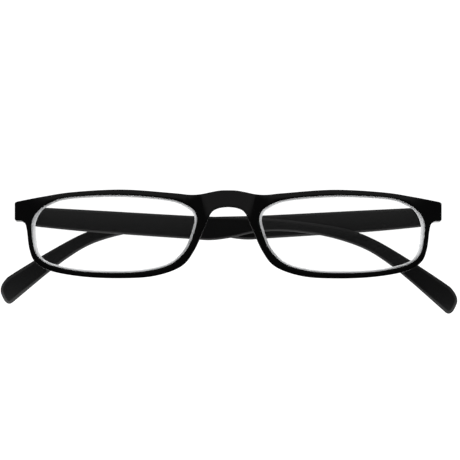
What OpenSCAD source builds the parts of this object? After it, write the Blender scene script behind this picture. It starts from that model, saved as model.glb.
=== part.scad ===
// Folding reading glasses with spring hinges, arms folded.
// X runs across the face (the wearer's left is +X), Y runs back towards the wearer, Z is up.
// The origin is midway between the lenses, on their horizontal centre line, at the back of the bridge.
// "right" and "left" are the wearer's own.

/* [Front] */
// Overall width, across both end pieces
front_w = 138; // [132:1:144]
// Overall height of the rims
front_h = 28.6; // [27.6:0.2:31]
// Thickness of the front, face to back
front_t = 3.6; // [3.4:0.1:4.2]
// Radius that the front is bowed to, round the face
bow_r = 400; // [360:10:600]
// How far the moulded nose rests stand out behind the front
nose_rest = 3.8; // [2.5:0.1:4.5]
// How far back the end pieces reach
lug_back = 9; // [8.6:0.1:9.6]

/* [Lenses] */
// Radius of the front surface
lens_front_r = 150; // [140:5:180]
// Radius of the back surface, longer than the front one on a reading lens
lens_back_r = 260; // [230:5:320]
// Thickness in the middle
lens_t = 2.2; // [2:0.1:2.4]
// How deep the lens edge sits in the rim
groove = 0.5; // [0.3:0.05:0.6]

/* [Arms] */
// Length from the hinge pin to the far edge of the ear hook
arm_len = 139.3; // [130:0.1:150]
// Thickness at the hinge
arm_t = 2.6; // [2.6:0.05:2.7]
// Thickness lost between the hinge and the tip
arm_taper = 0.6; // [0.5:0.1:0.8]
// Angle by which the opened arms spread past square
splay = 5; // [3:0.5:6]
// Angle by which the inner arm leans to the front, and the outer one away, when folded
lean = 1.2; // [1.15:0.05:1.3]
// Angle by which one arm droops more, and the other less, than the drawn shape
droop = 0.1; // [0:0.05:0.4]
// The same for the hooks, beyond the straight part of the arms
hook_droop = 1.25; // [0:0.05:1.4]

/* [Hinges] */
// Radius of the knuckles
knuckle_r = 1.6; // [1.5:0.05:1.6]
// Radius of the screw's shank
screw_r = 0.7; // [0.6:0.05:0.8]
// Height of each of the three knuckles
knuckle_h = 1.2; // [1.1:0.05:1.3]
// Radius of the sliding shank inside the arm
shank_r = 0.42; // [0.38:0.02:0.42]
// Turns of the spring
spring_turns = 8; // [6:1:10]

/* [Hidden] */

// Sides, as a sign on X
right = -1;
left = 1;

// Gaps: a running fit, and a looser one between pieces that must not touch
fit = 0.05;
gap = 0.1;
// Overshoot of a cutter past what it cuts
over = 1;
$fn = 64;

// The outlines below are drawn at these sizes and stretched to the ones asked for
drawn_front = [138, 28.6];
drawn_arm = 139.3;
// Short straight steps between two drawn points
steps = 4;

// Half of the front's outer edge, from the top of the bridge round to its underside.
// Its two spans meet at the upper corner of the end piece.
TOP_EDGE = [[0, 14.2], [2.8, 14.1], [5.8, 13.55], [9, 12.9], [12.5, 12.75], [18, 13.3],
            [34, 14.4], [50, 13.6], [60, 12.1], [68.4, 10.5]];
CORNER = [[68.85, 10.3], [69, 9.9], [69, 4.8], [68.85, 4.5], [68.5, 4.35]];
LOWER_EDGE = [[66.8, 4.3], [65.6, 3.4], [65, 1.1], [64.2, -4.8], [62.3, -9], [57.2, -11.9],
              [47, -13.7], [35, -14.2], [24, -13.5], [15.3, -10.5], [11, -5.4], [7.4, 2.6],
              [5.4, 6.9], [3, 8.35], [0, 8.75]];
// The rim's inner edge, round one lens
OPENING = [[63.5, 1.5], [62.6, -4.9], [60.4, -8.2], [56.2, -10.3], [48, -11.9], [37, -12.4],
           [27, -11.9], [18.7, -9.7], [13.4, -5], [10.7, 1.5], [10.1, 5.6], [12.2, 8.7],
           [19, 11.3], [35, 12.6], [51.3, 11.9], [57.7, 10], [61.4, 7.4], [63.1, 4.7]];
// The arm from the side, as distance from the pin and height: top edge, tip, lower edge
ARM_TOP = [[-2, 9], [25, 7.6], [53, 6.1], [70, 5.6], [82, 5], [93, 3.95],
           [104, 2.25], [113, -1.05], [124, -7.25], [134, -13.55]];
ARM_TIP = [[137.1, -15.65], [138.8, -17.95], [139.3, -20.35], [138.2, -23.05], [137.3, -24.05],
           [136.4, -24.35], [135.6, -24.05]];
ARM_LOWER = [[125.2, -15.1], [118, -9.35], [111, -4.85], [104, -2.05], [96, -0.05],
             [88, 0.95], [80.5, 1.25], [73, 0.65], [66, -0.95], [59, -1.85], [52, -1.45],
             [33, -0.2], [18, 0.85], [5, 2.1], [1, 2.6], [-2, 3.2]];
// Where the hook begins, as distance from the pin
hook_start = 80;

// Catmull-Rom spline: the point at t (0 to 1) between b and c
function spline_at(a, b, c, d, t) =
    0.5 * (2 * b + (c - a) * t + (2 * a - 5 * b + 4 * c - d) * t * t
           + (3 * b - a - 3 * c + d) * t * t * t);
// A smooth open curve through the points
function smooth(pts) =
    let (last = len(pts) - 1)
    [for (i = [0 : last - 1], k = [0 : steps - 1])
        spline_at(pts[max(i - 1, 0)], pts[i], pts[i + 1], pts[min(i + 2, last)], k / steps),
     pts[last]];
// A smooth closed curve through the points
function smooth_loop(pts) =
    let (n = len(pts))
    [for (i = [0 : n - 1], k = [0 : steps - 1])
        spline_at(pts[(i + n - 1) % n], pts[i], pts[(i + 1) % n], pts[(i + 2) % n], k / steps)];
// The loop moved outwards by d, where the loop runs clockwise
function grown(loop, d) =
    let (n = len(loop))
    [for (i = [0 : n - 1])
        let (way = loop[(i + 1) % n] - loop[(i + n - 1) % n])
        loop[i] + d * [-way.y, way.x] / norm(way)];
function stretched(pts, size, drawn) = [for (p = pts) [p.x * size.x / drawn.x, p.y * size.y / drawn.y]];
function reversed(pts) = [for (i = [len(pts) - 1 : -1 : 0]) pts[i]];

front_size = [front_w, front_h];
half_edge = stretched(concat(smooth(TOP_EDGE), CORNER, smooth(LOWER_EDGE)), front_size, drawn_front);
front_edge = concat(half_edge, [for (p = reversed(half_edge)) if (p.x > 0) [-p.x, p.y]]);
opening = stretched(smooth_loop(OPENING), front_size, drawn_front);
arm_side = stretched(concat(smooth(ARM_TOP), ARM_TIP, smooth(ARM_LOWER)),
                     [arm_len, 1], [drawn_arm, 1]);

// Lens position: the turn of its axis about the bow's centre, and its vertex's radius from there
lens_x = 36.8 * front_w / drawn_front.x;
lens_turn = asin(lens_x / (bow_r + front_t / 2));
lens_vertex_r = bow_r + front_t - 0.2;

// Hinge pin: how far it stands in from the arm's outer face, and behind the end piece
pin_inset = knuckle_r + gap + arm_t;
pin_x = front_w / 2 - pin_inset;
pin_y = lug_back + 1.3;
arm_inner = knuckle_r + gap;
// Middle height of the hinge, and the levels of its three knuckles
hinge_z = 5.95;
eyelet_low = hinge_z - knuckle_h / 2;
eyelet_high = hinge_z + knuckle_h / 2;
barrel_low = eyelet_low - fit - knuckle_h;
barrel_high = eyelet_high + fit + knuckle_h;
screw_head = [1.25, 0.5];

// End piece behind the front: its inner side, and how much lower its back end sits
lug_inner_x = pin_x - 1.6;
lug_low = 4.3 * front_h / drawn_front.y;
lug_high = 10.1 * front_h / drawn_front.y;
lug_drop = 0.4;
// Foot of the front leaf, sunk into the end piece
foot = [1.8, 4.2];

// Spring gear inside the arm, as distances along the arm from the pin
shank_across = arm_inner + arm_t / 2;
neck = [-0.6, 2.8];
housing = [2.9, 14.6];
housing_wall = 1;
housing_size = [1.9, 2.8];
housing_bore_r = 0.75;
bush = [12.2, 13.2];
bush_r = 0.7;
spring_r = 0.58;
wire_r = 0.11;

// Extrudes a side outline (x, z) along Y, from y_low to y_high
module through(outline, y_low, y_high) {
    translate([0, y_high, 0]) rotate([90, 0, 0]) linear_extrude(y_high - y_low) polygon(outline);
}

// Puts a left-hand piece on the side asked for
module on_side(side) {
    mirror([side < 0 ? 1 : 0, 0, 0]) children();
}

// Places what is drawn about the hinge pin of the front
module at_pin(side) {
    on_side(side) translate([pin_x, pin_y, 0]) children();
}

// Places what is drawn about the pin of an arm (+X outwards, +Y along the arm), folded
module on_folded_arm(side) {
    at_pin(side) rotate([0, 0, 90 - side * lean]) children();
}

// A cylinder that lies along the arm, on the line of the sliding shank
module along_arm(r, from, to) {
    translate([shank_across, from, hinge_z]) rotate([-90, 0, 0]) cylinder(r = r, h = to - from);
}

// The curved slab that the front is cut from
module bowed_slab() {
    translate([0, bow_r, -front_h]) difference() {
        cylinder(r = bow_r + front_t, h = 2 * front_h, $fn = 256);
        translate([0, 0, -over]) cylinder(r = bow_r, h = 2 * front_h + 2 * over, $fn = 256);
    }
}

// The space between the two surfaces of a left lens, each moved outwards by play
module lens_space(play) {
    translate([0, bow_r, 0]) rotate([0, 0, lens_turn]) difference() {
        translate([0, lens_front_r - lens_vertex_r, 0]) sphere(r = lens_front_r + play, $fn = 480);
        translate([0, lens_back_r + lens_t - lens_vertex_r, 0])
            sphere(r = lens_back_r - play, $fn = 480);
    }
}

// A left lens whose edge stands into the rim by depth
module lens_blank(depth, play) {
    intersection() {
        through(grown(opening, depth), -6, 8);
        lens_space(play);
    }
}

// Rounded swellings behind the inner rims, which rest on the nose
module nose_rests() {
    rest_r = 10;
    intersection() {
        through(front_edge, 0, 8);
        translate([-16, nose_rest - rest_r, -2.5]) rotate([0, 90, 0]) cylinder(r = rest_r, h = 32);
        translate([-16, -over, -12]) cube([32, 10, 17]);
    }
}

// The part of an end piece that reaches back to the hinge
module lug() {
    bend_y = 5;
    side_view = [[3, lug_low], [3, lug_high], [bend_y, lug_high],
                 [lug_back, lug_high - lug_drop], [lug_back, lug_low - lug_drop], [bend_y, lug_low]];
    translate([lug_inner_x, 0, 0]) rotate([90, 0, 90])
        linear_extrude(front_w / 2 - lug_inner_x) polygon(side_view);
}

// Room for the front leaf in an end piece, open below
module leaf_recess() {
    low = lug_low - lug_drop - over;
    high = barrel_high + screw_head[1] + gap;
    translate([0, 0, low]) cylinder(r = knuckle_r + gap, h = high - low);
    translate([-foot[0] / 2 - fit, -foot[1] - fit, barrel_low - fit])
        cube([foot[0] + 2 * fit, foot[1] + fit, barrel_high - barrel_low + 2 * fit]);
}

module front_frame() {
    color([0.03, 0.03, 0.03]) difference() {
        union() {
            intersection() {
                bowed_slab();
                through(front_edge, -6, 12);
            }
            nose_rests();
            for (side = [right, left]) on_side(side) lug();
        }
        for (side = [right, left]) {
            on_side(side) through(opening, -6, 5.2);
            on_side(side) lens_blank(groove + fit, fit);
            at_pin(side) leaf_recess();
        }
    }
}

module lens(side) {
    color([0.95, 0.97, 1, 0.3]) on_side(side) lens_blank(groove, 0);
}

// Two knuckles on a foot; the gap between them takes the eyelet
module hinge_leaf(side) {
    color([0.6, 0.6, 0.62]) at_pin(side) difference() {
        union() {
            translate([0, 0, barrel_low]) cylinder(r = knuckle_r, h = barrel_high - barrel_low);
            translate([-foot[0] / 2, -foot[1], barrel_low])
                cube([foot[0], foot[1], barrel_high - barrel_low]);
        }
        translate([0, 0, eyelet_low - fit])
            cylinder(r = knuckle_r + gap, h = knuckle_h + 2 * fit);
        translate([0, 0, barrel_low - over])
            cylinder(r = screw_r + fit / 2, h = barrel_high - barrel_low + 2 * over);
    }
}

module hinge_screw(side) {
    slot = [0.35, 0.25];
    color([0.75, 0.75, 0.77]) at_pin(side) difference() {
        union() {
            translate([0, 0, barrel_low]) cylinder(r = screw_r, h = barrel_high - barrel_low);
            translate([0, 0, barrel_high + fit / 2]) cylinder(r = screw_head[0], h = screw_head[1]);
            translate([0, 0, barrel_high - fit]) cylinder(r = screw_r, h = 2 * fit);
        }
        translate([-over - screw_head[0], -slot[0] / 2, barrel_high + screw_head[1] - slot[1]])
            cube([2 * (over + screw_head[0]), slot[0], 2 * slot[1]]);
    }
}

// The middle knuckle, the neck that reaches into the arm, and the shank that slides there
module hinge_eyelet(side) {
    color([0.6, 0.6, 0.62]) on_folded_arm(side) difference() {
        union() {
            translate([0, 0, eyelet_low]) cylinder(r = knuckle_r, h = knuckle_h);
            translate([0, neck[0], eyelet_low])
                cube([shank_across + 0.6, neck[1] - neck[0], knuckle_h]);
            along_arm(shank_r, neck[1] - over, bush[1]);
        }
        translate([0, 0, eyelet_low - over])
            cylinder(r = screw_r + fit, h = knuckle_h + 2 * over);
    }
}

module spring_bush(side) {
    color([0.7, 0.6, 0.35]) on_folded_arm(side) difference() {
        along_arm(bush_r, bush[0], bush[1]);
        along_arm(shank_r + fit / 2, bush[0] - over, bush[1] + over);
    }
}

// A coil round the shank, from the housing's end wall to the bush
module hinge_spring(side) {
    sides = 6;
    rings_per_turn = 12;
    rings = spring_turns * rings_per_turn;
    low = housing[0] + housing_wall + wire_r + fit;
    high = bush[0] - wire_r - fit;
    function ring_point(i, k) =
        let (turn = 360 * i / rings_per_turn, round = 360 * k / sides,
             r = spring_r + wire_r * cos(round))
        [r * cos(turn), low + (high - low) * i / rings + wire_r * sin(round), r * sin(turn)];
    pts = [for (i = [0 : rings], k = [0 : sides - 1]) ring_point(i, k)];
    walls = [for (i = [0 : rings - 1], k = [0 : sides - 1])
        let (a = i * sides + k, b = i * sides + (k + 1) % sides)
        each [[a, b, b + sides], [a, b + sides, a + sides]]];
    ends = [[for (k = [sides - 1 : -1 : 0]) k], [for (k = [0 : sides - 1]) rings * sides + k]];
    color([0.75, 0.75, 0.77]) on_folded_arm(side)
        translate([shank_across, 0, hinge_z]) polyhedron(pts, concat(walls, ends));
}

// A box with a narrow mouth for the shank and a wide bore for the spring and bush
module hinge_housing(side) {
    color([0.5, 0.5, 0.52]) on_folded_arm(side) difference() {
        translate([shank_across - housing_size[0] / 2, housing[0], hinge_z - housing_size[1] / 2])
            cube([housing_size[0], housing[1] - housing[0], housing_size[1]]);
        along_arm(shank_r + fit, housing[0] - over, housing[1]);
        along_arm(housing_bore_r, housing[0] + housing_wall, housing[1] + over);
    }
}

// Room in the arm for the housing, and for the eyelet's neck at the arm's end
module housing_pocket() {
    wide = housing_size[0] + 2 * fit;
    high = housing_size[1] + 2 * fit;
    translate([shank_across - wide / 2, -3, hinge_z - high / 2])
        cube([wide, 3 + housing[1] + fit, high]);
    translate([arm_inner - over, -3, eyelet_low - gap])
        cube([shank_across - arm_inner + over, 3 + housing[0], knuckle_h + 2 * gap]);
}

module temple(side) {
    outer = arm_inner + arm_t;
    // The end is cut to lie flat against the end piece when the arm is open
    function end_at(across) = (lug_back + gap - pin_y + across * sin(splay)) / cos(splay);
    plan = [[arm_inner, end_at(arm_inner)], [outer, end_at(outer)], [outer, arm_len + over],
            [arm_inner + arm_taper, arm_len + over]];
    drooped = [for (p = arm_side)
        let (hook = max(p.x - hook_start, 0))
        [p.x, p.y + side * (p.x * tan(droop) + hook * tan(hook_droop))]];
    color([0.1, 0.1, 0.1]) on_folded_arm(side) difference() {
        intersection() {
            translate([0, 0, -40]) linear_extrude(60) polygon(plan);
            rotate([90, 0, 90]) linear_extrude(outer + over) polygon(drooped);
        }
        housing_pocket();
    }
}

front_frame();
lens(right);  // right_lens
lens(left);  // left_lens
hinge_leaf(right);  // right_hinge_leaf
hinge_leaf(left);  // left_hinge_leaf
hinge_screw(right);  // right_hinge_screw
hinge_screw(left);  // left_hinge_screw
hinge_eyelet(right);  // right_hinge_eyelet
hinge_eyelet(left);  // left_hinge_eyelet
spring_bush(right);  // right_spring_bush
spring_bush(left);  // left_spring_bush
hinge_spring(right);  // right_hinge_spring
hinge_spring(left);  // left_hinge_spring
hinge_housing(right);  // right_hinge_housing
hinge_housing(left);  // left_hinge_housing
temple(right);  // right_temple
temple(left);  // left_temple
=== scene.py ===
"""Studio scene for folding reading glasses.

Lengths are in metres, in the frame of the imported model: X to the wearer's left, Y back
towards the wearer, Z up. Outlines are drawn in millimetres, as in the part's own source.
"""
import math
import bmesh
import bpy
import numpy as np
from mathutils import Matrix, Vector
from mathutils.geometry import delaunay_2d_cdt

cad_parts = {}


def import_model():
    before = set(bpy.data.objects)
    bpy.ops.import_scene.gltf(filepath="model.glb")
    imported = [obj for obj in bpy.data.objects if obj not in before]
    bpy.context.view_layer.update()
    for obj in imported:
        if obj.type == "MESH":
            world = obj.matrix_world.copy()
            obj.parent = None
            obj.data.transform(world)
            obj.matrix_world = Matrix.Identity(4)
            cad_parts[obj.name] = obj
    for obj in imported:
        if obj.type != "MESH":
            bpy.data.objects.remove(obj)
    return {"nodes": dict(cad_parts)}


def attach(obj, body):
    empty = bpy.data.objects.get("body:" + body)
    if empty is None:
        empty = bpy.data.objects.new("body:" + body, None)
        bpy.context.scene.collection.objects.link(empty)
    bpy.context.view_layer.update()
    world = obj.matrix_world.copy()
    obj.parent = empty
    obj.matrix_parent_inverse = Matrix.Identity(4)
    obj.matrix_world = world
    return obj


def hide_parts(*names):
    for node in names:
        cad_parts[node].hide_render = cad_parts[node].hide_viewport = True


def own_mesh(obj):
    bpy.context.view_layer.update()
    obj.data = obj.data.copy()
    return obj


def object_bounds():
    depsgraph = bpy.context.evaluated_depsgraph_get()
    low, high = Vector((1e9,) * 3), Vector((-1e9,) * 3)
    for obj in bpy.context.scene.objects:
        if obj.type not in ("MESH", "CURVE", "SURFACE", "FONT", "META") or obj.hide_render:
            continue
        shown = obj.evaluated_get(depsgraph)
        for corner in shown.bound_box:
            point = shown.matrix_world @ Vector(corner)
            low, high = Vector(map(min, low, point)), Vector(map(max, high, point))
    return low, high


MM = 0.001
SIDES = {"right": -1, "left": 1}

# ---------------------------------------------------------------- sizes of the part, in mm
FRONT_T = 3.6
BOW_R = 400.0
HALF_FRONT = 69.0
END_LOW, END_HIGH, END_CORNER = 4.35, 10.35, 0.5
SADDLE_TILT, SADDLE_LOW, RIDGE_RAMP = 7.0, 4.5, 2.2
NOSE_REST, NOSE_REST_R, NOSE_REST_Z = 3.8, 10.0, -2.5
LUG_BACK, LUG_BEND, LUG_DROP = 9.0, 5.0, 0.4
LUG_INNER, LUG_OUTER = 62.4, 63.3
PIN = Vector((64.7, 10.3, 5.95))
KNUCKLE_R, GAP = 1.6, 0.1
LENS_X, LENS_T, GROOVE = 36.8, 2.2, 0.5
LENS_HALF_W, LENS_SET_BACK = 26.7, 0.2
LENS_FRONT_R, LENS_BACK_R = 150.0, 260.0
ARM_T, ARM_TAPER, ARM_LEN = 2.6, 0.6, 139.3
SPRING_START, SPRING_END, SPRING_TURNS = 3.95, 12.15, 8
COIL_R, WIRE_R, PULL = 0.58, 0.11, 1.5
SPLAY, LEAN, DROOP = 5.0, 1.2, 0.1
HOOK_START, HOOK_DROOP = 80.0, 1.25

# Straight steps between two points of an outline
STEPS = 12

# Outlines, through the points that the part is drawn with
TOP_EDGE = [(0, 14.2), (2.8, 14.1), (5.8, 13.55), (9, 12.9), (12.5, 12.75), (18, 13.3),
            (34, 14.4), (50, 13.6), (60, 12.1), (68.2, 10.55)]
LOWER_EDGE = [(66.8, 4.3), (65.6, 3.4), (65, 1.1), (64.2, -4.8), (62.3, -9), (57.2, -11.9),
              (47, -13.7), (35, -14.2), (24, -13.5), (15.3, -10.5), (11, -5.4), (7.4, 2.6),
              (5.4, 6.9), (3, 8.35), (0, 8.75)]
OPENING = [(63.5, 1.5), (62.6, -4.9), (60.4, -8.2), (56.2, -10.3), (48, -11.9), (37, -12.4),
           (27, -11.9), (18.7, -9.7), (13.4, -5), (10.7, 1.5), (10.1, 5.6), (12.2, 8.7),
           (19, 11.3), (35, 12.6), (51.3, 11.9), (57.7, 10), (61.4, 7.4), (63.1, 4.7)]
ARM_TOP = [(-1, 8.95), (25, 7.6), (53, 6.1), (70, 5.6), (82, 5), (93, 3.95),
           (104, 2.25), (113, -1.05), (124, -7.25), (134, -13.55)]
ARM_TIP = [(137.1, -15.65), (138.8, -17.95), (139.3, -20.35), (138.2, -23.05),
           (137.3, -24.05), (136.4, -24.35), (135.6, -24.05)]
ARM_LOWER = [(125.2, -15.1), (118, -9.35), (111, -4.85), (104, -2.05), (96, -0.05),
             (88, 0.95), (80.5, 1.25), (73, 0.65), (66, -0.95), (59, -1.85),
             (52, -1.45), (33, -0.2), (18, 0.85), (5, 2.1), (1, 2.6), (-1, 3)]


# ---------------------------------------------------------------- outlines
def spline(points, steps=STEPS, closed=False):
    """A Catmull-Rom curve through the points."""
    n = len(points)
    out = []
    for i in range(n if closed else n - 1):
        if closed:
            a, b, c, d = (Vector(points[(i + k) % n]) for k in (-1, 0, 1, 2))
        else:
            a, b, c, d = (Vector(points[min(max(i + k, 0), n - 1)]) for k in (-1, 0, 1, 2))
        for k in range(steps):
            t = k / steps
            out.append(0.5 * (2 * b + (c - a) * t + (2 * a - 5 * b + 4 * c - d) * t * t
                              + (3 * b - a - 3 * c + d) * t ** 3))
    if not closed:
        out.append(Vector(points[-1]))
    return out


def arc(centre, radius, start, end, steps=6):
    """Points on a circle, between two angles in degrees."""
    angles = [math.radians(start + (end - start) * k / steps) for k in range(steps + 1)]
    return [Vector((centre[0] + radius * math.cos(a), centre[1] + radius * math.sin(a)))
            for a in angles]


def resampled(loop, pitch):
    """The closed loop with its points spaced evenly, about pitch apart."""
    ring = loop + [loop[0]]
    lengths = [(ring[i + 1] - ring[i]).length for i in range(len(loop))]
    count = max(12, round(sum(lengths) / pitch))
    step = sum(lengths) / count
    out, i, left = [], 0, 0.0
    for k in range(count):
        target = k * step
        while left + lengths[i] < target and i < len(lengths) - 1:
            left += lengths[i]
            i += 1
        out.append(ring[i].lerp(ring[i + 1], (target - left) / max(lengths[i], 1e-9)))
    return out


def inward(loop):
    """Unit normals of a closed loop that point to its inside."""
    n = len(loop)
    area = sum(loop[i].x * loop[(i + 1) % n].y - loop[(i + 1) % n].x * loop[i].y
               for i in range(n))
    turn = 1 if area > 0 else -1
    out = []
    for i in range(n):
        way = (loop[(i + 1) % n] - loop[i - 1]).normalized()
        out.append(Vector((-way.y, way.x)) * turn)
    return out


def front_outline():
    """The front's outer edge, with rounded corners on its end pieces."""
    # One point past the middle keeps the top of the bridge smooth; its span is then dropped
    past_middle = (-TOP_EDGE[1][0], TOP_EDGE[1][1])
    corner_x = HALF_FRONT - END_CORNER
    half = spline([past_middle] + TOP_EDGE)[STEPS:]
    half += arc((corner_x, END_HIGH - END_CORNER), END_CORNER, 80, 0)
    half += arc((corner_x, END_LOW + END_CORNER), END_CORNER, 0, -90)
    half += spline(LOWER_EDGE)
    return half + [Vector((-p.x, p.y)) for p in reversed(half) if p.x > 1e-6]


def opening_outline(side):
    """The rim's inner edge round one lens."""
    return [Vector((p.x * side, p.y)) for p in spline(OPENING, closed=True)]


def smoothstep(low, high, value):
    """0 at low and 1 at high, with a soft start and end. High may lie below low."""
    t = min(max((value - low) / (high - low), 0.0), 1.0)
    return t * t * (3 - 2 * t)


# ---------------------------------------------------------------- making meshes
def new_object(name, bm, materials):
    """A smooth-shaded object from a bmesh drawn in millimetres."""
    bmesh.ops.recalc_face_normals(bm, faces=bm.faces)
    bmesh.ops.scale(bm, vec=(MM, MM, MM), verts=bm.verts)
    mesh = bpy.data.meshes.new(name)
    bm.to_mesh(mesh)
    bm.free()
    for material in materials:
        mesh.materials.append(material)
    for face in mesh.polygons:
        face.use_smooth = True
    obj = bpy.data.objects.new(name, mesh)
    bpy.context.scene.collection.objects.link(obj)
    return obj


def skin(bm, rings):
    """Joins closed rings of equal count with quads. Returns the faces."""
    faces = []
    for low, high in zip(rings, rings[1:]):
        n = len(low)
        for i in range(n):
            k = (i + 1) % n
            faces.append(bm.faces.new((low[i], low[k], high[k], high[i])))
    return faces


def inside(loop, p):
    """Whether a point lies in a closed loop."""
    odd = False
    for a, b in zip(loop, loop[1:] + loop[:1]):
        if (a.y > p.y) != (b.y > p.y):
            if p.x < (b.x - a.x) * (p.y - a.y) / (b.y - a.y) + a.x:
                odd = not odd
    return odd


def cap(bm, loops, flat, lift, grid=()):
    """Fills the region inside the first loop and outside the others.

    loops are lists of verts and flat their 2D places. lift turns an inner 2D point into 3D.
    """
    verts = [v for loop in loops for v in loop]
    places = [p for loop in flat for p in loop]
    owners = [k for k, loop in enumerate(loops) for _ in loop]
    edges, start = [], 0
    for loop in loops:
        n = len(loop)
        edges += [(start + i, start + (i + 1) % n) for i in range(n)]
        start += n
    same_point = 1e-7
    points, _, faces, origins, _, _ = delaunay_2d_cdt(places + list(grid), edges, [], 1, same_point)
    made, owner = [], []
    for point, sources in zip(points, origins):
        known = [s for s in sources if s < start]
        made.append(verts[known[0]] if known else bm.verts.new(lift(point)))
        owner.append(owners[known[0]] if known else None)
    for face in faces:
        loop_ids = {owner[i] for i in face}
        if len(loop_ids) == 1 and None not in loop_ids:
            k = loop_ids.pop()
            middle = sum((points[i] for i in face), Vector((0, 0))) / 3
            if inside(flat[k], middle) == (k > 0):
                continue
        bm.faces.new([made[i] for i in face])


def grid_points(low, high, pitch, loops, margin):
    """Points on a grid that are inside the first loop, outside the others, clear of all."""
    rows, cols = (np.arange(low[k], high[k], pitch) for k in (0, 1))
    points = np.stack(np.meshgrid(rows, cols, indexing="ij"), -1).reshape(-1, 2)
    keep = np.ones(len(points), bool)
    for k, loop in enumerate(loops):
        start = np.array([tuple(p) for p in loop])
        end = np.roll(start, -1, axis=0)
        gaps = points[:, None] - start[None]
        keep &= (gaps ** 2).sum(-1).min(1) > margin ** 2
        spans = (start[:, 1] > points[:, 1:]) != (end[:, 1] > points[:, 1:])
        rise = np.where(end[:, 1] == start[:, 1], 1, end[:, 1] - start[:, 1])
        cross = start[:, 0] + (points[:, 1:] - start[:, 1]) * (end[:, 0] - start[:, 0]) / rise
        odd = (spans & (points[:, :1] < cross)).sum(1) % 2 == 1
        keep &= odd if k == 0 else ~odd
    return [Vector(p) for p in points[keep]]


# ---------------------------------------------------------------- front
def bowed(x, z, depth):
    """The place of a point at that depth behind the front's outer surface."""
    r = BOW_R + FRONT_T - depth
    return Vector((x, BOW_R - math.sqrt(r * r - x * x), z))


def ridge_x(z):
    """Where the ridge between the bridge and a rim runs, at a height."""
    return 7.2 + 0.2 * (z - 5)


def saddle(x, z):
    """How far the bridge is cut back from the rims, between two soft ridges."""
    tilt = math.tan(math.radians(SADDLE_TILT)) * max(z - SADDLE_LOW, 0)
    return tilt * min(max((ridge_x(z) - abs(x)) / RIDGE_RAMP, 0), 1)


def ridge_points():
    """Points along both ridges and along the edges of the bridge's flat."""
    heights = np.arange(4.6, 12.2, 0.4)
    return [Vector((side * (ridge_x(z) - step), z)) for side in SIDES.values()
            for z in heights for step in (0, RIDGE_RAMP)]


def lug_share(x):
    """How far a point lies in the end piece rather than the rim, from 0 to 1."""
    return smoothstep(LUG_INNER, LUG_OUTER, abs(x))


def back_of(x, z):
    """Y of the front's back surface, with the nose rests and the end pieces' backs."""
    y = bowed(x, z, FRONT_T).y
    reach = NOSE_REST_R ** 2 - (z - NOSE_REST_Z) ** 2
    if reach > 0:
        rest = NOSE_REST - NOSE_REST_R + math.sqrt(reach)
        near_nose = smoothstep(17.5, 13.0, abs(x))
        below_bridge = smoothstep(5.2, 2.0, z)
        y += max(rest - y, 0) * near_nose * below_bridge
    share = lug_share(x)
    rim_top = 3.5
    if share > 0 and z > rim_top:
        lug = LUG_BACK
        from_pin = abs(x) - PIN.x
        recess = KNUCKLE_R + GAP
        if abs(from_pin) < recess:
            lug = min(lug, PIN.y - math.sqrt(recess ** 2 - from_pin ** 2))
        y += (lug - y) * share
    return y


def dropped(p):
    """The end pieces sink towards their backs, to meet the arms."""
    bend_start = LUG_BEND - 1.5
    if lug_share(p.x) > 0:
        p.z -= LUG_DROP * smoothstep(bend_start, LUG_BACK, p.y) * lug_share(p.x)
    return p


def lens_y(x, z, back, side):
    """Y of a lens surface."""
    turn = math.asin(LENS_X / (BOW_R + FRONT_T / 2))
    vertex_r = BOW_R + FRONT_T - LENS_SET_BACK
    radius = LENS_BACK_R if back else LENS_FRONT_R
    out = vertex_r - (LENS_T if back else 0) - radius
    cx, cy = side * out * math.sin(turn), BOW_R - out * math.cos(turn)
    return cy - math.sqrt(radius ** 2 - (x - cx) ** 2 - z * z)


def outer_bevel(p):
    """Width and depth of the polished bevel along the front's outer edge."""
    away_from_ends = smoothstep(66, 56, abs(p.x))
    away_from_nose = smoothstep(10, 15, abs(p.x))
    top_width, top_depth = 0.9, 0.22
    low_width, low_depth = 0.45, 0.06
    on_top = p.y > 5
    if on_top:
        return top_width * away_from_ends, top_depth * away_from_ends * away_from_nose
    low = smoothstep(-6, -10, p.y) * away_from_nose
    return low_width * low, low_depth * low


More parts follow.
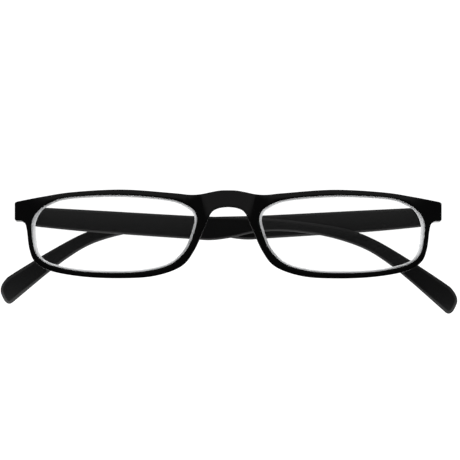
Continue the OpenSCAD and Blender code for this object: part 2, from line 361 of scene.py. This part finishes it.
def edge_rows(loop, normals, front_round, back_round, wall_rows, groove_side=0):
    """3D rows down the wall of one loop, from its front edge to its back edge.

    Also gives the flat places of the first row.
    """
    rows = []
    corner_rows = 7
    seam, play = 0.02, 0.05
    bevels = [(0, 0) if groove_side else outer_bevel(p) for p in loop]
    flat = []
    if not groove_side:
        row = []
        for p, n, (wide, _) in zip(loop, normals, bevels):
            q = p + n * (front_round + wide + seam)
            flat.append(q)
            row.append(bowed(q.x, q.y, saddle(q.x, q.y)))
        rows.append(row)
    for k in range(corner_rows + 1):
        a = math.radians(90 * k / corner_rows)
        inset, depth = front_round * (1 - math.sin(a)), front_round * (1 - math.cos(a))
        row = []
        for p, n, (_, drop) in zip(loop, normals, bevels):
            q = p + n * inset
            row.append(bowed(q.x, q.y, depth + drop + saddle(q.x, q.y)))
        rows.append(row)
    if groove_side:
        flat = [p + n * front_round for p, n in zip(loop, normals)]
        for back, inset in ((False, 0), (False, GROOVE), (True, GROOVE), (True, 0)):
            clear_by = play if back else -play
            row = []
            for p, n in zip(loop, normals):
                q = p + n * inset
                row.append(Vector((q.x, lens_y(q.x, q.y, back, groove_side) + clear_by, q.y)))
            rows.append(row)
    starts = rows[-1]
    for k in range(1, wall_rows + 1):
        row = []
        for p, start in zip(loop, starts):
            end = back_of(p.x, p.y) - back_round
            row.append(Vector((p.x, start.y + (end - start.y) * k / wall_rows, p.y)))
        rows.append(row)
    for k in range(1, corner_rows + 1):
        a = math.radians(90 * k / corner_rows)
        inset, rise = back_round * (1 - math.cos(a)), back_round * (1 - math.sin(a))
        row = []
        for p, n in zip(loop, normals):
            q = p + n * inset
            row.append(Vector((q.x, back_of(p.x, p.y) - rise, q.y)))
        rows.append(row)
    return rows, flat


def make_front(plastic):
    """The front: walls round its edge and both openings, closed by a front and a back cap."""
    bm = bmesh.new()
    front_round, back_round, pitch = 0.18, 0.35, 0.4
    wall_rows, sharp_angle = 6, 14
    outer = resampled(front_outline(), pitch)
    holes = {s: resampled(opening_outline(s), pitch) for s in SIDES.values()}
    loops = [(outer, inward(outer), 0)]
    loops += [(hole, [-n for n in inward(hole)], s) for s, hole in holes.items()]
    front_rings, back_rings = [], []
    for loop, normals, side in loops:
        rows, flat = edge_rows(loop, normals, front_round, back_round, wall_rows, side)
        rings = [[bm.verts.new(dropped(p)) for p in row] for row in rows]
        skin(bm, rings)
        front_rings.append((rings[0], flat))
        back_rings.append((rings[-1], [p + n * back_round for p, n in zip(loop, normals)]))
    # Areas whose shape needs points inside the caps: low corner, high corner and pitch
    ends = [((62.2, 4), (69, 11), 0.22), ((-69, 4), (-62.2, 11), 0.22)]
    front_grid = [((-12, 2), (12, 14.5), 0.6)]
    back_grid = [((-17.6, -14), (17.6, 6), 0.5)] + ends
    for rings, areas, lift in (
            (front_rings, front_grid, lambda p: bowed(p.x, p.y, saddle(p.x, p.y))),
            (back_rings, back_grid,
             lambda p: dropped(Vector((p.x, back_of(p.x, p.y), p.y))))):
        flat = [places for _, places in rings]
        inner = ridge_points() if rings is front_rings else []
        for low, high, step in areas:
            inner += grid_points(low, high, step, flat, step * 0.6)
        cap(bm, [ring for ring, _ in rings], flat, lift, inner)
    front = new_object("front", bm, [plastic])
    front.data.set_sharp_from_angle(angle=math.radians(sharp_angle))
    front.modifiers.new("even shading", "WEIGHTED_NORMAL").keep_sharp = True
    return front


# ---------------------------------------------------------------- lenses
def make_lens(side, clear, ground):
    """A plus lens whose back has a ground bevel round its edge."""
    bm = bmesh.new()
    pitch, ground_depth, sharp_angle = 0.6, 0.45, 12
    loop = resampled(opening_outline(side), pitch)
    normals = inward(loop)
    centre = Vector((side * LENS_X, 0.1))

    def bevel_width(p):
        """Wider towards the temple and the nose than above and below."""
        across = (p - centre).x * side / LENS_HALF_W
        at_temple = 0.55 * smoothstep(0.86, 1.0, across)
        at_nose = 0.2 * smoothstep(0.7, 1.0, -across)
        return 0.58 + at_temple + at_nose

    def ring(places, back, lift=0.0):
        return [bm.verts.new((q.x, lens_y(q.x, q.y, back, side) - lift, q.y)) for q in places]

    stand_in = GROOVE - 0.05
    edge = [p - n * stand_in for p, n in zip(loop, normals)]
    bevel = [p + n * bevel_width(p) for p, n in zip(loop, normals)]
    ring_count = 16
    shares = [1 - k / ring_count for k in range(ring_count)]
    inner = [[centre + (p - centre) * f for p in bevel] for f in shares]
    front_rings = [ring(edge, False)] + [ring(r, False) for r in inner]
    back_rings = [ring(edge, True, ground_depth)] + [ring(r, True) for r in inner]
    for rings, back in ((front_rings, False), (back_rings, True)):
        middle = bm.verts.new((centre.x, lens_y(centre.x, centre.y, back, side), centre.y))
        last = rings[-1]
        for i in range(len(last)):
            bm.faces.new((last[i], last[(i + 1) % len(last)], middle))
        skin(bm, rings[1:])
    skin(bm, front_rings[:2])
    for face in skin(bm, [front_rings[0], back_rings[0]]) + skin(bm, back_rings[:2]):
        face.material_index = 1
    lens = new_object("lens", bm, [clear, ground])
    lens.data.set_sharp_from_angle(angle=math.radians(sharp_angle))
    return lens


# ---------------------------------------------------------------- arms
def arm_place(side, across, along, z):
    """The place of a point of a folded arm, from its distances out from and along the pin."""
    turn = math.radians(90 - side * LEAN)
    x = across * math.cos(turn) - along * math.sin(turn)
    y = across * math.sin(turn) + along * math.cos(turn)
    return Vector((side * (PIN.x + x), PIN.y + y, z))


def arm_end(across):
    """How far along the arm its end face lies, cut to butt the end piece when it is open."""
    splay = math.radians(SPLAY)
    return (LUG_BACK + GAP - PIN.y + across * math.sin(splay)) / math.cos(splay)


def chamfer_size(along):
    """Width of the arm's chamfer: small at the hinge, large round the tip."""
    full = 0.68
    past_hinge = 0.75 * smoothstep(-1, 1.5, along)
    at_tip = 0.35 * smoothstep(124, 134, along)
    return full * (0.25 + past_hinge + at_tip)


def make_temple(side, plastic):
    """One arm, folded, with all its edges chamfered."""
    bm = bmesh.new()
    pitch, sharp_angle = 0.6, 20
    drawn_end, still_from = -1, 1
    outline = spline(ARM_TOP) + spline(ARM_TIP) + spline(ARM_LOWER)
    loop = resampled(outline, pitch)
    normals = inward(loop)
    inner_face = KNUCKLE_R + GAP
    outer_face = inner_face + ARM_T
    # The chamfer, as (share of its width inwards, share of its width down)
    chamfer = [(1.25, 0), (1.05, 0.03), (0.9, 0.12), (0.12, 0.9), (0.03, 1.05), (0, 1.25)]

    def place(q, share):
        """The place of a point of the side view, at a share of the arm's thickness."""
        low = inner_face + ARM_TAPER * max(q.x, 0) / ARM_LEN
        across = low + (outer_face - low) * share
        along = q.x
        if q.x < still_from:
            # The end as drawn moves to where the end face lies, and what is near it follows
            along += ((arm_end(across) - drawn_end)
                      * (still_from - q.x) / (still_from - drawn_end))
        hook = max(q.x - HOOK_START, 0)
        drop = q.x * math.tan(math.radians(DROOP)) + hook * math.tan(math.radians(HOOK_DROOP))
        return arm_place(side, across, along, q.y + side * drop)

    def row(inset, down, from_inner):
        """A ring of verts, moved in from the outline and down from one face."""
        verts = []
        for p, n in zip(loop, normals):
            size = chamfer_size(p.x)
            q = p + n * inset * size
            thick = outer_face - inner_face - ARM_TAPER * max(q.x, 0) / ARM_LEN
            share = down * size / thick
            verts.append(bm.verts.new(place(q, share if from_inner else 1 - share)))
        return verts

    rings = [row(a, b, True) for a, b in chamfer] + [row(a, b, False) for a, b in chamfer[::-1]]
    skin(bm, rings)
    for ring, share in ((rings[0], 0), (rings[-1], 1)):
        flat = [p + n * chamfer[0][0] * chamfer_size(p.x) for p, n in zip(loop, normals)]
        cap(bm, [ring], [flat], lambda p, s=share: place(p, s))
    temple = new_object("temple", bm, [plastic])
    temple.data.set_sharp_from_angle(angle=math.radians(sharp_angle))
    return temple


def make_spring(side, wire):
    """The coil round the shank. Also returns the direction along the arm and the place of the
    coil's far end.
    """
    bm = bmesh.new()
    sides, rings_per_turn = 10, 24
    shank = KNUCKLE_R + GAP + ARM_T / 2
    low, high = SPRING_START + WIRE_R, SPRING_END - WIRE_R
    count = SPRING_TURNS * rings_per_turn
    rings = []
    for i in range(count + 1):
        turn = math.tau * i / rings_per_turn
        ring = []
        for k in range(sides):
            around = math.tau * k / sides
            r = COIL_R + WIRE_R * math.cos(around)
            along = low + (high - low) * i / count + WIRE_R * math.sin(around)
            ring.append(bm.verts.new(arm_place(side, shank + r * math.cos(turn), along,
                                               PIN.z + r * math.sin(turn))))
        rings.append(ring)
    skin(bm, rings)
    bm.faces.new(rings[0])
    bm.faces.new(rings[-1])
    coil = new_object("coil", bm, [wire])
    away = arm_place(side, 0, 1, 0) - arm_place(side, 0, 0, 0)
    anchor = arm_place(side, shank, SPRING_END, PIN.z) * MM
    return coil, away, anchor


# ---------------------------------------------------------------- materials
def material(name, **values):
    """A node material. Values go on the shader's own sockets."""
    mat = bpy.data.materials.new(name)
    mat.use_nodes = True
    shader = mat.node_tree.nodes["Principled BSDF"]
    for socket, value in values.items():
        shader.inputs[socket.replace("_", " ")].default_value = value
    return mat, mat.node_tree.nodes, mat.node_tree.links, shader


def noise(nodes, links, scale, detail=3.0):
    where = nodes.new("ShaderNodeTexCoord")
    texture = nodes.new("ShaderNodeTexNoise")
    texture.inputs["Scale"].default_value = scale
    texture.inputs["Detail"].default_value = detail
    links.new(where.outputs["Object"], texture.inputs["Vector"])
    return texture


def spread(nodes, links, source, low, high):
    """The source's 0 to 1 turned into low to high."""
    out = nodes.new("ShaderNodeMapRange")
    out.inputs["To Min"].default_value = low
    out.inputs["To Max"].default_value = high
    links.new(source, out.inputs["Value"])
    return out.outputs["Result"]


def bump(nodes, links, shader, source, strength, distance):
    node = nodes.new("ShaderNodeBump")
    node.inputs["Strength"].default_value = strength
    node.inputs["Distance"].default_value = distance
    links.new(source, node.inputs["Height"])
    links.new(node.outputs["Normal"], shader.inputs["Normal"])


def gloss_black():
    """The front's polished plastic, faintly smudged."""
    mat, nodes, links, shader = material("gloss_black", Base_Color=(0.0004, 0.0004, 0.0005, 1),
                                         IOR=1.42)
    smudge = noise(nodes, links, 260.0)
    links.new(spread(nodes, links, smudge.outputs["Fac"], 0.07, 0.14), shader.inputs["Roughness"])
    wave = noise(nodes, links, 90.0, 1.0)
    bump(nodes, links, shader, wave.outputs["Fac"], 0.06, 0.0003)
    return mat


def satin_black():
    """The arms' matte plastic, with a fine grain."""
    mat, nodes, links, shader = material("satin_black", Base_Color=(0.016, 0.016, 0.0165, 1),
                                         IOR=1.26)
    grain = noise(nodes, links, 5200.0, 2.0)
    links.new(spread(nodes, links, grain.outputs["Fac"], 0.38, 0.5), shader.inputs["Roughness"])
    bump(nodes, links, shader, grain.outputs["Fac"], 0.04, 0.00003)
    return mat


def clear_lens():
    """Clear resin. Light goes straight on through it. It mirrors little from within."""
    mat, nodes, links, shader = material("clear_lens")
    nodes.remove(shader)
    through = nodes.new("ShaderNodeBsdfTransparent")
    gloss = nodes.new("ShaderNodeBsdfGlossy")
    mix = nodes.new("ShaderNodeMixShader")
    fresnel = nodes.new("ShaderNodeFresnel")
    resin_index, from_within = 1.6, 0.02
    fresnel.inputs["IOR"].default_value = resin_index
    side = nodes.new("ShaderNodeNewGeometry")
    share = nodes.new("ShaderNodeMix")
    share.data_type = "FLOAT"
    links.new(side.outputs["Backfacing"], share.inputs["Factor"])
    links.new(fresnel.outputs["Fac"], share.inputs["A"])
    share.inputs["B"].default_value = from_within
    haze = noise(nodes, links, 120.0)
    links.new(spread(nodes, links, haze.outputs["Fac"], 0.02, 0.06), gloss.inputs["Roughness"])
    links.new(share.outputs["Result"], mix.inputs["Fac"])
    links.new(through.outputs["BSDF"], mix.inputs[1])
    links.new(gloss.outputs["BSDF"], mix.inputs[2])
    links.new(mix.outputs["Shader"], nodes["Material Output"].inputs["Surface"])
    return mat


def ground_edge():
    """Frosted lens edge: it glows with the light behind it."""
    mat = bpy.data.materials.new("ground_edge")
    mat.use_nodes = True
    nodes, links = mat.node_tree.nodes, mat.node_tree.links
    nodes.remove(nodes["Principled BSDF"])
    glow = nodes.new("ShaderNodeBsdfTranslucent")
    frost = nodes.new("ShaderNodeBsdfDiffuse")
    mix = nodes.new("ShaderNodeMixShader")
    grain = noise(nodes, links, 1800.0)
    links.new(spread(nodes, links, grain.outputs["Fac"], 0.02, 0.08), mix.inputs["Fac"])
    glow.inputs["Color"].default_value = (0.96, 0.97, 0.98, 1)
    frost.inputs["Color"].default_value = (0.9, 0.92, 0.94, 1)
    links.new(glow.outputs["BSDF"], mix.inputs[1])
    links.new(frost.outputs["BSDF"], mix.inputs[2])
    links.new(mix.outputs["Shader"], nodes["Material Output"].inputs["Surface"])
    return mat


def metal(name, colour, rough, scale):
    """Fine-grained metal. Its roughness strays a little to either side of rough."""
    mat, nodes, links, shader = material(name, Metallic=1.0, Base_Color=(*colour, 1))
    grain = noise(nodes, links, scale)
    stray = 0.06
    links.new(spread(nodes, links, grain.outputs["Fac"], rough - stray, rough + stray),
              shader.inputs["Roughness"])
    bump(nodes, links, shader, grain.outputs["Fac"], 0.15, 0.00002)
    return mat


def soften(node):
    """Small rounds on the sharp edges of a metal piece."""
    bevel = node.modifiers.new("edge rounds", "BEVEL")
    bevel.limit_method = "ANGLE"
    bevel.angle_limit = math.radians(40)
    bevel.width = 0.06 * MM
    bevel.segments = 2


# ---------------------------------------------------------------- stage
# Strength at which the background is pure white to the camera, also through a lens
WHITE = 1.12


def ranged(nodes, links, source, low, high, at_low, at_high):
    """Goes smoothly from at_low to at_high while the source goes from low to high."""
    node = nodes.new("ShaderNodeMapRange")
    node.interpolation_type = "SMOOTHSTEP"
    for socket, value in (("From Min", low), ("From Max", high), ("To Min", at_low),
                          ("To Max", at_high)):
        node.inputs[socket].default_value = value
    links.new(source, node.inputs["Value"])
    return node.outputs["Result"]


def for_camera(nodes, links, otherwise, value):
    """The value where the camera looks straight at it, and otherwise the other source."""
    seen = nodes.new("ShaderNodeLightPath")
    pick = nodes.new("ShaderNodeMix")
    pick.data_type = "FLOAT"
    links.new(seen.outputs["Is Camera Ray"], pick.inputs["Factor"])
    links.new(otherwise, pick.inputs["A"])
    pick.inputs["B"].default_value = value
    return pick.outputs["Result"]


def make_stage(lowest):
    """A white table: all white to the camera. In reflections it shows a painted glow, bright only
    just behind.
    """
    half_size, clearance = 6000, 0.0001
    bm = bmesh.new()
    bmesh.ops.create_grid(bm, x_segments=8, y_segments=8, size=half_size)
    floor = new_object("floor", bm, [])
    floor.location.z = lowest - clearance
    mat, nodes, links, shader = material("floor_paper_painted_glow", Base_Color=(0.1, 0.1, 0.1, 1),
                                         Specular_IOR_Level=0.0, Emission_Color=(1, 1, 1, 1))
    paper = noise(nodes, links, 300.0)
    links.new(spread(nodes, links, paper.outputs["Fac"], 0.9, 1.0), shader.inputs["Roughness"])
    where = nodes.new("ShaderNodeTexCoord")
    split = nodes.new("ShaderNodeSeparateXYZ")
    links.new(where.outputs["Object"], split.inputs["Vector"])
    # Painted glow: the floor's emission, seen only in reflections, is a pool of light brightest
    # just behind the glasses and fading further back
    brightest, far_off = 2.2, 0.4
    fade = ranged(nodes, links, split.outputs["Y"], 0.04, 0.2, brightest, far_off)
    glow = ranged(nodes, links, split.outputs["Y"], 0.0, 0.016, 0.0, brightest)
    links.new(fade, glow.node.inputs["To Max"])
    links.new(for_camera(nodes, links, glow, WHITE), shader.inputs["Emission Strength"])
    floor.data.materials.append(mat)


def make_world():
    """All white to the camera. In reflections, bright behind and nearly dark in front."""
    world = bpy.data.worlds.new("studio")
    bpy.context.scene.world = world
    world.use_nodes = True
    nodes, links = world.node_tree.nodes, world.node_tree.links
    background = nodes["Background"]
    where = nodes.new("ShaderNodeTexCoord")
    split = nodes.new("ShaderNodeSeparateXYZ")
    links.new(where.outputs["Generated"], split.inputs["Vector"])
    behind = ranged(nodes, links, split.outputs["Y"], -0.35, 0.35, 0.0, 1.0)
    height = ranged(nodes, links, split.outputs["Z"], 0.25, 0.85, 1.0, 0.1)
    front = ranged(nodes, links, split.outputs["Z"], -0.02, 0.28, 0.08, 0.36)
    both = nodes.new("ShaderNodeMath")
    both.operation = "MULTIPLY_ADD"
    for k, source in enumerate((behind, height, front)):
        links.new(source, both.inputs[k])
    links.new(for_camera(nodes, links, both.outputs["Value"], WHITE),
              background.inputs["Strength"])
    background.inputs["Color"].default_value = (1, 1, 1, 1)


def area_light(name, place, aim, size, watts):
    """A rectangular lamp, turned to face aim."""
    data = bpy.data.lights.new(name, "AREA")
    data.shape = "RECTANGLE"
    data.size, data.size_y = size
    data.energy = watts
    lamp = bpy.data.objects.new(name, data)
    bpy.context.scene.collection.objects.link(lamp)
    lamp.location = place
    lamp.rotation_euler = (Vector(aim) - Vector(place)).to_track_quat("-Z", "Y").to_euler()


def make_camera(middle):
    """A long lens straight in front, rolled very slightly."""
    data = bpy.data.cameras.new("camera")
    data.sensor_width = 36
    data.lens = 250
    cam = bpy.data.objects.new("camera", data)
    bpy.context.scene.collection.objects.link(cam)
    width_shown, roll = 0.1483, -0.06
    distance = width_shown * data.lens / data.sensor_width
    cam.location = middle - Vector((0, distance, 0))
    cam.rotation_euler = (math.radians(90), math.radians(roll), 0)
    data.clip_end = 20
    bpy.context.scene.camera = cam


# ---------------------------------------------------------------- the scene
def main():
    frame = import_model()
    cad_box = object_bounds()
    nodes = frame["nodes"]
    gloss, satin = gloss_black(), satin_black()
    clear, ground = clear_lens(), ground_edge()
    steel = metal("hinge_steel", (0.26, 0.26, 0.27), 0.34, 3000.0)
    wire = metal("spring_wire", (0.34, 0.34, 0.35), 0.24, 4000.0)
    brass = metal("bush_brass", (0.42, 0.3, 0.15), 0.25, 3000.0)

    front = make_front(gloss)
    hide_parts("front_frame")
    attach(front, "front")
    for name, side in SIDES.items():
        lens = make_lens(side, clear, ground)
        lens.name = f"{name}_lens_blank"
        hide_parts(f"{name}_lens")
        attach(lens, "front")
        temple = make_temple(side, satin)
        temple.name = f"{name}_arm_piece"
        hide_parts(f"{name}_temple")
        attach(temple, f"{name}_arm")
        coil, away, anchor = make_spring(side, wire)
        coil.name = f"{name}_spring_coil"
        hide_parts(f"{name}_hinge_spring")
        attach(coil, f"{name}_eyelet")
        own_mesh(coil)
        finishes = {"hinge_leaf": steel, "hinge_screw": wire, "hinge_eyelet": steel,
                    "hinge_housing": steel, "spring_bush": brass}
        for part, finish in finishes.items():
            node = nodes[f"{name}_{part}"]
            node.data.materials.clear()
            node.data.materials.append(finish)
            soften(node)

    make_camera(Vector((0.0006, 0, 0.0014)))
    make_stage(cad_box[0].z)
    make_world()
    area_light("key", (-0.5, -0.35, 0.9), (0, 0, 0), (0.6, 0.6), 1.5)
    bpy.context.scene.view_settings.view_transform = "Standard"


main()
